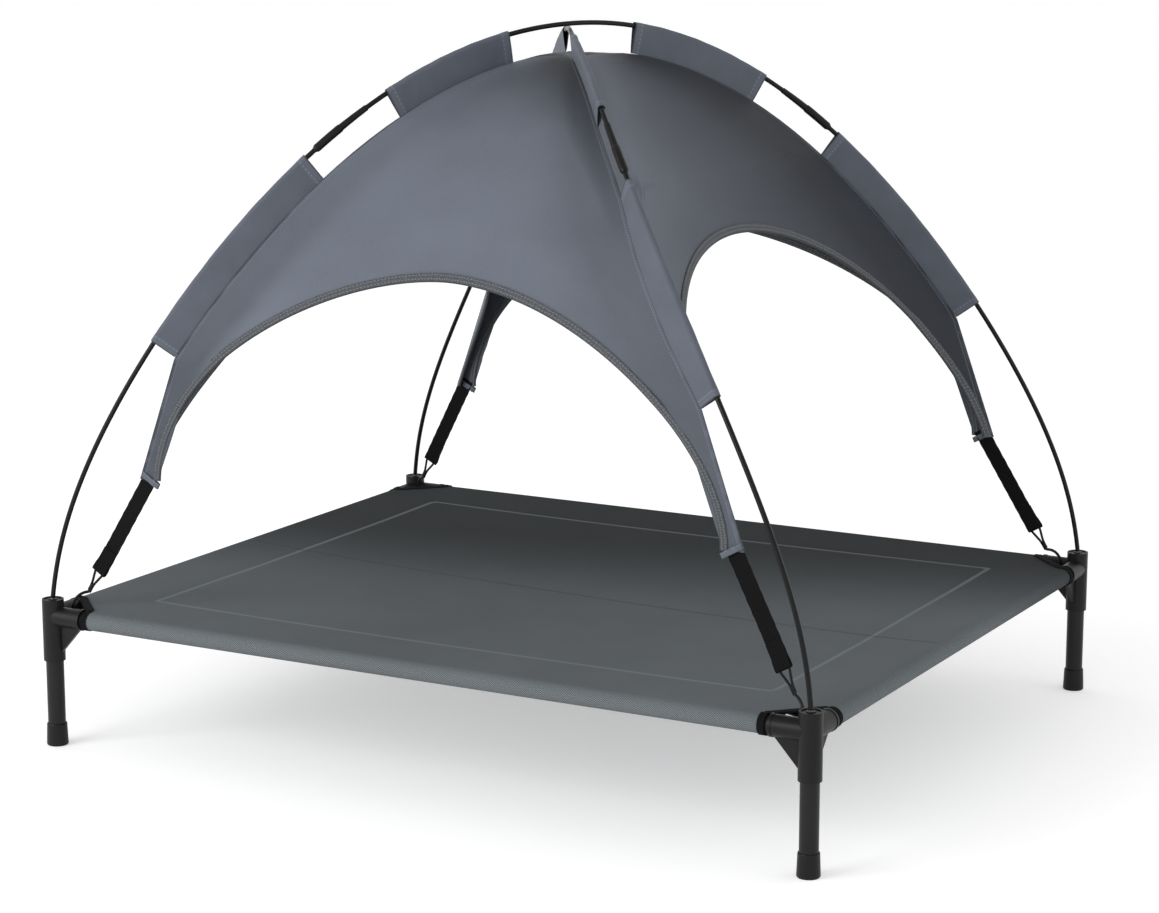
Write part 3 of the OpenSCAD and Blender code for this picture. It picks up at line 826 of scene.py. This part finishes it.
class DOGBED_OT_doorway_tapes(bpy.types.Operator):
    """Make the tapes that are folded over the doorways' edges"""

    bl_idname = "dogbed.doorway_tapes"
    bl_label = "Doorway Tapes"

    def execute(self, context):
        sizes = context.scene.dog_bed_sizes
        cloth = sizes.canopy_cloth
        width = sizes.tape
        edge = 0.0012            # where the fold round the doorway's edge begins
        clear = 0.0007           # from the cloth to the tape's middle
        for k, face in enumerate(FACES):
            def profile(v):
                """(grow, height) across the tape, from its outer hem round the edge and back."""
                if v < FLAT_SHARE:
                    return mix(width, edge, v / FLAT_SHARE), clear
                if v > 1 - FLAT_SHARE:
                    return mix(edge, width, (v - 1 + FLAT_SHARE) / FLAT_SHARE), -cloth - clear
                angle = math.pi * (v - FLAT_SHARE) / (1 - 2 * FLAT_SHARE)
                half = cloth / 2 + clear
                return edge - 0.0016 * math.sin(angle), -cloth / 2 + half * math.cos(angle)

            def place(u, v, k=k):
                grow, height = profile(v)
                f, t = arch_spot(k, u, grow)
                puff = 0.0003 * math.sin(math.pi * min(1, grow / width)) * (1 if v < 0.5 else -1)
                return panel_point(k, f, t) + panel_normal(k, f, max(t, 0.004)) * (height + puff)

            length = 0.95 if k % 2 else 1.02
            tape = shaped_grid(
                f"doorway_tape_{face}", 180, 20, place, lambda u, v: (u * length, v * 2.3 * width),
                {"across": lambda u, v: profile(v)[0]},
            )
            apply_modifier(tape, "SOLIDIFY", thickness=0.0005, offset=-1)
            smooth(tape, 50)
            finish_piece(tape, "canopy", "binding_tape", [f"doorway_binding_{face}"])
        return {"FINISHED"}


# ---- bed ----------------------------------------------------------------------------
CORNER_CUT = 0.054           # where the sheet's cut corners begin, from the hubs' axes
SEAM_X = 0.425
SEAM_Y = 0.332
FOLD_Y = -0.028              # the storage crease that runs from side to side
WRAP_ANGLE = math.radians(191)


def sheet_height(x, y):
    """The laid sheet hangs a little below the rails' tops, most in its middle."""
    across = max(0, 1 - (x / HUB_X) ** 2) * max(0, 1 - (y / HUB_Y) ** 2)
    seam = max(abs(x) / SEAM_X, abs(y) / SEAM_Y)
    ripple = 0.0006 * noise.noise(Vector((x * 4, y * 7, 2.0))) * min(1, across * 4)
    pull = 0.0007 * math.exp(-((seam - 1) / 0.02) ** 2)
    return SHEET_TOP - 0.0004 - bpy.context.scene.dog_bed_sizes.bed_sag * across ** 0.75 + ripple - pull


def painted_canopy_shadow(x, y):
    """How much the painted shadow of the canopy darkens the sheet towards its back left, from 0 to 1."""
    return rise(y - 0.25 * x, -0.10, 0.30)


def flap_profile(share, reach):
    """(inward, z) of a rail's flap: round the rail, then under the sheet to its seam."""
    radius = ROLL_RADIUS - 0.0005
    arc = radius * WRAP_ANGLE
    run = share * (arc + reach)
    if run < arc:
        angle = math.pi / 2 + run / radius
        return radius * math.cos(angle), RAIL_Z + radius * math.sin(angle)
    end = math.pi / 2 + WRAP_ANGLE
    start = Vector((radius * math.cos(end), RAIL_Z + radius * math.sin(end)))
    return start.lerp(Vector((reach, SHEET_TOP - 0.0085)), (run - arc) / reach)


class DOGBED_OT_bed_sheet(bpy.types.Operator):
    """Make the laid sheet with its four flaps sewn round the rails"""

    bl_idname = "dogbed.bed_sheet"
    bl_label = "Bed Sheet"

    def execute(self, context):
        sizes = context.scene.dog_bed_sizes
        cut_rows = 6
        rows = 96

        def row_y(v):
            """Rows are spaced so that two of them stand exactly where the cut corners end."""
            step = cut_rows / rows
            if v < step:
                return mix(-HUB_Y, -HUB_Y + CORNER_CUT, v / step)
            if v > 1 - step:
                return mix(HUB_Y - CORNER_CUT, HUB_Y, (v - 1 + step) / step)
            return mix(-HUB_Y + CORNER_CUT, HUB_Y - CORNER_CUT, (v - step) / (1 - 2 * step))

        def half_width(y):
            return HUB_X - max(0, abs(y) - (HUB_Y - CORNER_CUT))

        def flat(u, v):
            y = row_y(v)
            return mix(-1, 1, u) * half_width(y), y

        def laid(u, v):
            x, y = flat(u, v)
            return Vector((x, y, sheet_height(x, y)))

        def seam_gap(x, y):
            return max(abs(x) - SEAM_X, abs(y) - SEAM_Y)

        columns = 112
        marks = {
            "seam": lambda u, v: seam_gap(*flat(u, v)),
            "crease": lambda u, v: flat(u, v)[1] - FOLD_Y + 0.055 * flat(u, v)[0],
            "roll": lambda u, v: 0.0,
            "shade": lambda u, v: painted_canopy_shadow(*flat(u, v)),
        }
        pieces = [shaped_grid("laid_sheet", columns, rows, laid, flat, marks)]
        for k, face in enumerate(FACES):
            pieces.append(self.flap(k, columns if k % 2 == 0 else rows - 2 * cut_rows, face))
        sheet = join_pieces("bed_sheet_laid", pieces)
        weld(sheet, 0.00003)
        apply_modifier(sheet, "SOLIDIFY", thickness=sizes.bed_cloth, offset=-1)
        smooth(sheet, 50)
        finish_piece(sheet, "bed_frame", "bed_mesh",
                     ["bed_sheet"] + [f"bed_sleeve_{face}" for face in FACES])
        return {"FINISHED"}

    def flap(self, k, columns, face):
        along_x = k % 2 == 0
        half = (HUB_X if along_x else HUB_Y) - CORNER_CUT
        reach = (HUB_Y - SEAM_Y) if along_x else (HUB_X - SEAM_X)
        rail = HUB_Y if along_x else HUB_X
        inward = INWARD[k]
        # u runs so that the flap's outer face looks away from the rail
        run_way = inward.cross(Vector((0, 0, 1)))

        def run_at(v):
            return (1 - v) * (ROLL_RADIUS * WRAP_ANGLE + reach)

        def place(u, v):
            back, z = flap_profile(1 - v, reach)
            spot = -inward * rail + inward * back + run_way * mix(-half, half, u)
            spot.z = z - 0.0004 * (1 - abs(2 * v - 1))
            if v > 0.999:
                spot.z = sheet_height(spot.x, spot.y)
            return spot

        def on_roll(u, v):
            return max(0, math.sin(min(math.pi, run_at(v) / ROLL_RADIUS * 1.15))) * 0.75

        # The painted canopy shadow of the laid sheet, carried onto the flap
        def shaded(u, v):
            spot = place(u, 1.0)
            return painted_canopy_shadow(spot.x, spot.y)

        def cloth(u, v):
            return mix(-half, half, u), rail + run_at(v)

        marks = {"seam": lambda u, v: 1.0, "crease": lambda u, v: 1.0, "roll": on_roll, "shade": shaded}
        return shaped_grid(f"flap_{face}", columns, 34, place, cloth, marks)


class DOGBED_OT_corner_binding(bpy.types.Operator):
    """Make the black tape round the sheet's cut corners and the rolls' ends"""

    bl_idname = "dogbed.corner_binding"
    bl_label = "Corner Binding"

    def execute(self, context):
        pieces = []
        ring = ROLL_RADIUS + 0.0006
        for i in range(4):
            for arm in (0, 1):
                def collar(u, v, i=i, arm=arm):
                    angle = 2 * math.pi * u
                    along = CORNER_CUT + mix(-0.0035, 0.005, v)
                    out = ring * math.sin(angle)
                    spot = [along, out] if arm == 0 else [out, along]
                    return at_corner(i, (*spot, RAIL_Z + ring * math.cos(angle)))

                piece = shaped_grid(f"collar_{i}_{arm}", 32, 2, collar, lambda u, v: (u * 0.073, v * 0.009))
                weld(piece)
                pieces.append(piece)

            def strip(u, v, i=i):
                start, end = Vector((CORNER_CUT - 0.002, 0.001)), Vector((0.001, CORNER_CUT - 0.002))
                level = start.lerp(end, u)
                across = Vector((1, 1)).normalized()
                if FLAT_SHARE < v < 1 - FLAT_SHARE:
                    fold = math.pi * (v - FLAT_SHARE) / (1 - 2 * FLAT_SHARE)
                    back, lift = -0.0012 * math.sin(fold), 0.0011 * math.cos(fold)
                else:
                    back = mix(0.009, 0, min(v, 1 - v) / FLAT_SHARE)
                    lift = 0.0011 if v <= FLAT_SHARE else -0.0011
                level = level + across * back
                return at_corner(i, (level.x, level.y, SHEET_TOP - 0.0008 + lift))

            pieces.append(shaped_grid(f"strip_{i}", 24, 12, strip, lambda u, v: (u * 0.075, v * 0.02)))
        binding = join_pieces("corner_tape", pieces)
        apply_modifier(binding, "SOLIDIFY", thickness=0.0006, offset=1)
        smooth(binding, 50)
        finish_piece(binding, "bed_frame", "black_tape", ["corner_binding"])
        return {"FINISHED"}


# ---- straps and hooks ---------------------------------------------------------------
def strap_line():
    """Hook's eye, strap's direction, its sideways and its face's way, at the corner."""
    eye = Vector((HOOK_AT + ARC_AT * math.cos(HOOK_PLANE), HOOK_AT + ARC_AT * math.sin(HOOK_PLANE),
                  RAIL_Z + CURL_R + ARC_R))
    run = (TONGUE_TIP - eye).normalized()
    wide = (Vector((1, 0, 0)) - run.x * run).normalized()
    return eye, run, wide, run.cross(wide)


class DOGBED_OT_straps(bpy.types.Operator):
    """Make the four elastic straps, each looped through its hook's eye and sewn"""

    bl_idname = "dogbed.straps"
    bl_label = "Elastic Straps"

    def execute(self, context):
        eye, run, wide, face = strap_line()
        bar = EYE_BAR
        top = (TONGUE_TIP - eye).length + 0.010
        loop = WIRE_D / 2 + 0.0011
        tail = bar + 0.030
        corners = [(top, loop), (bar + 0.004, loop), (bar, loop)]
        arc = [(bar - loop * math.sin(a), loop * math.cos(a)) for a in
               [math.pi * n / 8 for n in range(1, 8)]]
        back = [(bar, -loop), (bar + 0.008, -loop * 0.6), (bar + 0.014, loop * 0.2), (tail, loop * 0.35)]
        spots = [Vector((*corner, 0)) for corner in corners + arc + back]
        route = [spots[0].lerp(spots[1], n / 60) for n in range(60)] + spots[1:]
        lengths = [0.0]
        for before, after in zip(route, route[1:]):
            lengths.append(lengths[-1] + (after - before).length)
        for i, corner in enumerate(CORNERS):
            def place(u, v, i=i):
                n = min(len(route) - 1, round(v * (len(route) - 1)))
                along, off = route[n].x, route[n].y
                swell = 1 + 0.02 * math.sin(along * 400)
                spot = eye + run * along + face * (off - 0.0008) + wide * mix(-0.5, 0.5, u) * STRAP_W * swell
                return at_corner(i, spot)

            def cloth(u, v):
                n = min(len(route) - 1, round(v * (len(route) - 1)))
                return u * STRAP_W, lengths[n]

            strap = shaped_grid(f"elastic_strap_{corner}_webbing", 8, len(route) - 1, place, cloth)
            apply_modifier(strap, "SOLIDIFY", thickness=0.0014, offset=0)
            weld(strap, 0.00001, outward=True)
            smooth(strap, 50)
            finish_piece(strap, None, "webbing", [f"elastic_strap_{corner}"])
            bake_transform(strap)
        return {"FINISHED"}


CUFF_SHIFT = 0.0025          # the tongue's middle, inward of its strap's middle


class DOGBED_OT_tongue_cuffs(bpy.types.Operator):
    """Make the cuffs that gather each tongue of the canopy round its strap"""

    bl_idname = "dogbed.tongue_cuffs"
    bl_label = "Tongue Cuffs"

    def execute(self, context):
        eye, run, wide, face = strap_line()
        tip = (TONGUE_TIP - eye).length
        for i, corner in enumerate(CORNERS):
            def place(u, v, i=i):
                angle = 2 * math.pi * u
                flare = 0.0006 * math.sin(9 * angle) * (1 - v)
                half_w = 0.0142 + flare
                half_t = 0.0021 + flare
                out = Vector((math.copysign(abs(math.cos(angle)) ** 0.6, math.cos(angle)) * half_w,
                              math.copysign(abs(math.sin(angle)) ** 0.8, math.sin(angle)) * half_t))
                spot = eye + run * (tip + mix(-0.002, 0.005, v)) + wide * (out.x + CUFF_SHIFT) + face * out.y
                return at_corner(i, spot)

            cuff = shaped_grid(f"tongue_cuff_{corner}", 40, 10, place, lambda u, v: (u * 0.052, v * 0.018),
                               {"end": lambda u, v: 0.001 + 0.009 * v})
            weld(cuff, 0.00001)
            apply_modifier(cuff, "SOLIDIFY", thickness=0.0010, offset=0)
            weld(cuff, 0.00001, outward=True)
            smooth(cuff, 50)
            finish_piece(cuff, "canopy", "canopy_cloth", finish="sleeve_cloth")
        return {"FINISHED"}


class DOGBED_OT_hooks(bpy.types.Operator):
    """Bend the four wire hooks: an eye, a doubled neck, an arc and a curl under the bar"""

    bl_idname = "dogbed.hooks"
    bl_label = "Wire Hooks"

    def execute(self, context):
        eye, run, wide, _ = strap_line()
        level = Vector((math.cos(HOOK_PLANE), math.sin(HOOK_PLANE), 0))
        up = Vector((0, 0, 1))
        bar = Vector((HOOK_AT, HOOK_AT, RAIL_Z))

        def in_plane(along, height):
            return bar + level * along + up * height

        curl = [in_plane(CURL_R * math.cos(a), CURL_R * math.sin(a)) for a in
                [math.radians(330 - 15 * n) for n in range(11)]]
        arc = [in_plane(ARC_AT + ARC_R * math.cos(a), CURL_R + ARC_R * math.sin(a)) for a in
               [math.radians(180 - 9 * n) for n in range(11)]]
        half = STRAP_W / 2 - 0.0030
        gap = 0.0015
        outline = [(-gap, 0.002), (-gap, NECK), (-half, EYE_BAR), (half, EYE_BAR), (gap, NECK), (gap, 0.0)]
        ring = rounded_line([eye + wide * x + run * z for x, z in outline], 0.005)
        body = rounded_line(curl + arc + [eye + run * 0.004, eye + run * NECK], 0.001, 1)
        for i, corner in enumerate(CORNERS):
            parts = [tube_along(f"wire_{n}", [at_corner(i, spot) for spot in line], WIRE_D / 2 * size, 16)
                     for n, (line, size) in enumerate(((body, 1.35), (ring, 1.15)))]
            hook = join_pieces(f"strap_hook_{corner}_wire", parts)
            finish_piece(hook, "bed_frame", "hook_wire", [f"strap_hook_{corner}"])
        return {"FINISHED"}


# ---- poles --------------------------------------------------------------------------
FERRULE_RADIUS = 0.0051
FERRULE_REACH = 0.0325       # half a ferrule's length, as a share of half a pole


class DOGBED_OT_poles(bpy.types.Operator):
    """Make the two crossed poles, three sections each, and the ferrules that join them"""

    bl_idname = "dogbed.poles"
    bl_label = "Canopy Poles"

    def execute(self, context):
        joint = 1 - T_FERRULE
        stretch = {"left": (-0.999, -joint), "middle": (-joint, joint), "right": (joint, 0.999)}
        for pole in "ab":
            for section, (start, end) in stretch.items():
                spots = [pole_frame(mix(start, end, n / 72), pole)[0] for n in range(73)]
                rod = tube_along(f"pole_{pole}_{section}_rod", spots, POLE_RADIUS, 16)
                finish_piece(rod, "canopy", "pole_rod", [f"pole_{pole}_{section}"])
            pair = [self.ferrule(pole, side * joint) for side in (-1, 1)]
            ferrules = join_pieces(f"ferrules_{pole}_turned", pair)
            finish_piece(ferrules, "canopy", "ferrule_sleeve", [f"ferrules_pole_{pole}"])
        return {"FINISHED"}

    def ferrule(self, pole, s):
        """A crimped steel sleeve with a moulded collar, widest on its lower half."""
        side = -1 if s < 0 else 1

        def width(q):
            """Radius factor, for q from 0 at the lower end to 1 at the upper end."""
            if q < 0.04 or q > 0.97:
                return 0.72
            return 1.0 if q < 0.52 else mix(0.86, 0.74, (q - 0.52) / 0.45)

        shares = [0, 0.01, 0.04, 0.05, 0.2, 0.35, 0.5, 0.52, 0.53, 0.65, 0.8, 0.96, 0.97, 0.99, 1]
        spots = [pole_frame(s + side * mix(FERRULE_REACH, -FERRULE_REACH, q), pole)[0] for q in shares]
        last = len(shares) - 1
        return tube_along("ferrule", spots, FERRULE_RADIUS, 16,
                          lambda share: width(shares[round(share * last)]))


# ---- finishes of the frame and the stage --------------------------------------------
FRAME_FINISHES = {
    "corner_hub_": "hub_plastic",
    "leg_tube_": "leg_steel",
    "foot_cap_": "foot_plastic",
    "rail_": "leg_steel",
    "pole_tips": "tip_steel",
    "shock_cord_": "cord_elastic",
}


class DOGBED_OT_frame_finishes(bpy.types.Operator):
    """Give the frame's own hubs, legs, feet and rails their finishes"""

    bl_idname = "dogbed.frame_finishes"
    bl_label = "Frame Finishes"

    def execute(self, context):
        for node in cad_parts:
            obj = bpy.data.objects[node]
            for start, name in FRAME_FINISHES.items():
                if node.startswith(start):
                    for slot in obj.material_slots:
                        slot.material = material(name)
        return {"FINISHED"}


class DOGBED_OT_declare_sheets(bpy.types.Operator):
    """A step that does nothing and changes nothing."""

    bl_idname = "dogbed.declare_sheets"
    bl_label = "Declare Sheets"

    def execute(self, context):
        return {"FINISHED"}


CAMERA_AT = (1.786, -3.264, 1.095)
CAMERA_AZIMUTH = math.radians(28.73)
CAMERA_ELEVATION = math.radians(11.46)
CAMERA_LENS = 93.0           # focal length in millimetres
FLOOR_SIZE = 90


class DOGBED_OT_stage(bpy.types.Operator):
    """Set the floor, the soft lights and the camera"""

    bl_idname = "dogbed.stage"
    bl_label = "Stage"

    def execute(self, context):
        look = context.scene.dog_bed_finishes
        clear_selection()
        bpy.ops.mesh.primitive_plane_add(size=1)
        floor = context.object
        floor.name = "floor"
        make_active(floor)
        bpy.ops.transform.resize(value=(FLOOR_SIZE, FLOOR_SIZE, 1))
        bpy.ops.object.transform_apply(location=True, rotation=True, scale=True)
        floor.data.materials.append(pale_floor())
        world = bpy.data.worlds.new("soft_studio")
        world.use_nodes = True
        nodes, links = world.node_tree.nodes, world.node_tree.links
        way = nodes.new("ShaderNodeTexCoord")
        parts = nodes.new("ShaderNodeSeparateXYZ")
        fall = nodes.new("ShaderNodeMapRange")
        for key, number in (("From Min", 0.15), ("From Max", 0.95), ("To Min", 1.0), ("To Max", 0.45)):
            fall.inputs[key].default_value = number
        power = nodes.new("ShaderNodeMath")
        power.operation = "MULTIPLY"
        power.inputs[1].default_value = look.room_light
        nodes["Background"].inputs["Color"].default_value = (1, 1, 1, 1)
        links.new(way.outputs["Generated"], parts.inputs[0])
        links.new(parts.outputs["Z"], fall.inputs["Value"])
        links.new(fall.outputs["Result"], power.inputs[0])
        links.new(power.outputs[0], nodes["Background"].inputs["Strength"])
        context.scene.world = world
        context.scene.view_settings.view_transform = "Standard"
        self.soft_light("key", (-1.9, -3.4, 1.9), 2.4, look.key_light)
        self.soft_light("fill", (2.8, 0.6, 1.8), 2.0, look.key_light * 0.08)
        bpy.ops.object.camera_add(location=CAMERA_AT,
                                  rotation=(math.pi / 2 - CAMERA_ELEVATION, 0, CAMERA_AZIMUTH))
        camera = context.object
        camera.data.sensor_width = 36
        camera.data.lens = CAMERA_LENS
        camera.data.dof.use_dof = False
        context.scene.camera = camera
        return {"FINISHED"}

    def soft_light(self, name, spot, size, watts):
        bpy.ops.object.light_add(type="AREA", location=spot)
        light = bpy.context.object
        light.name = name
        light.data.size = size
        light.data.energy = watts
        light.rotation_euler = (Vector((0, 0, 0.4)) - Vector(spot)).to_track_quat("-Z", "Y").to_euler()


# ---- properties, panel and registration ---------------------------------------------
class DogBedSizes(bpy.types.PropertyGroup):
    canopy_cloth: bpy.props.FloatProperty(
        name="Canopy cloth", description="Thickness of the canopy's cloth with its coating",
        default=0.0009, unit="LENGTH")
    canopy_ripple: bpy.props.FloatProperty(
        name="Canopy ripple", description="Height of the soft ripples in the stretched canopy",
        default=0.0035, unit="LENGTH")
    sleeve_cloth: bpy.props.FloatProperty(
        name="Sleeve cloth", description="Thickness of a pole sleeve's cloth",
        default=0.0007, unit="LENGTH")
    hem: bpy.props.FloatProperty(
        name="Hem", description="Width of the hem at each end of a pole sleeve",
        default=0.010, unit="LENGTH")
    tape: bpy.props.FloatProperty(
        name="Doorway tape", description="Width of the tape that is folded over a doorway's edge",
        default=0.0092, unit="LENGTH")
    bed_cloth: bpy.props.FloatProperty(
        name="Bed cloth", description="Thickness of the bed's woven sheet",
        default=0.0009, unit="LENGTH")
    bed_sag: bpy.props.FloatProperty(
        name="Bed sag", description="How far the middle of the bed's sheet hangs",
        default=0.009, unit="LENGTH")


class DogBedFinishes(bpy.types.PropertyGroup):
    canopy_cloth: bpy.props.FloatVectorProperty(
        name="Canopy cloth", description="Colour of the canopy's cloth",
        default=(0.110, 0.124, 0.153), subtype="COLOR")
    binding_tape: bpy.props.FloatVectorProperty(
        name="Binding tape", description="Colour of the doorways' tape",
        default=(0.070, 0.075, 0.082), subtype="COLOR")
    bed_mesh: bpy.props.FloatVectorProperty(
        name="Bed mesh", description="Colour of the bed's woven sheet",
        default=(0.112, 0.124, 0.131), subtype="COLOR")
    plastic: bpy.props.FloatVectorProperty(
        name="Hub plastic", description="Colour of the corner hubs",
        default=(0.006, 0.006, 0.0065), subtype="COLOR")
    steel: bpy.props.FloatVectorProperty(
        name="Coated steel", description="Colour of the legs and rails",
        default=(0.010, 0.010, 0.011), subtype="COLOR")
    room_light: bpy.props.FloatProperty(
        name="Room light", description="Strength of the even light from all round", default=1.15)
    floor_glow: bpy.props.FloatProperty(
        name="Floor glow", description="Light that the pale floor gives off itself", default=0.39)
    key_light: bpy.props.FloatProperty(
        name="Key light", description="Power of the soft light at the front left",
        default=85, unit="POWER")


OPERATORS = (
    DOGBED_OT_canopy,
    DOGBED_OT_pole_sleeves,
    DOGBED_OT_doorway_tapes,
    DOGBED_OT_bed_sheet,
    DOGBED_OT_corner_binding,
    DOGBED_OT_straps,
    DOGBED_OT_tongue_cuffs,
    DOGBED_OT_hooks,
    DOGBED_OT_poles,
    DOGBED_OT_frame_finishes,
    DOGBED_OT_declare_sheets,
    DOGBED_OT_stage,
)


class DOGBED_PT_panel(bpy.types.Panel):
    """Buttons and settings of the dog bed"""

    bl_idname = "DOGBED_PT_panel"
    bl_label = "Dog Bed"
    bl_space_type = "VIEW_3D"
    bl_region_type = "UI"
    bl_category = "Dog Bed"

    def draw(self, context):
        column = self.layout.column()
        for group in (context.scene.dog_bed_sizes, context.scene.dog_bed_finishes):
            for key in type(group).__annotations__:
                column.prop(group, key)
        for operator in OPERATORS:
            column.operator(operator.bl_idname)


CLASSES = (DogBedSizes, DogBedFinishes, *OPERATORS, DOGBED_PT_panel)


def register():
    for cls in CLASSES:
        bpy.utils.register_class(cls)
    bpy.types.Scene.dog_bed_sizes = bpy.props.PointerProperty(type=DogBedSizes)
    bpy.types.Scene.dog_bed_finishes = bpy.props.PointerProperty(type=DogBedFinishes)


def unregister():
    del bpy.types.Scene.dog_bed_finishes
    del bpy.types.Scene.dog_bed_sizes
    for cls in reversed(CLASSES):
        bpy.utils.unregister_class(cls)


def main():
    register()
    for operator in OPERATORS:
        group, name = operator.bl_idname.split(".")
        getattr(getattr(bpy.ops, group), name)()


if __name__ == "__main__":
    main()
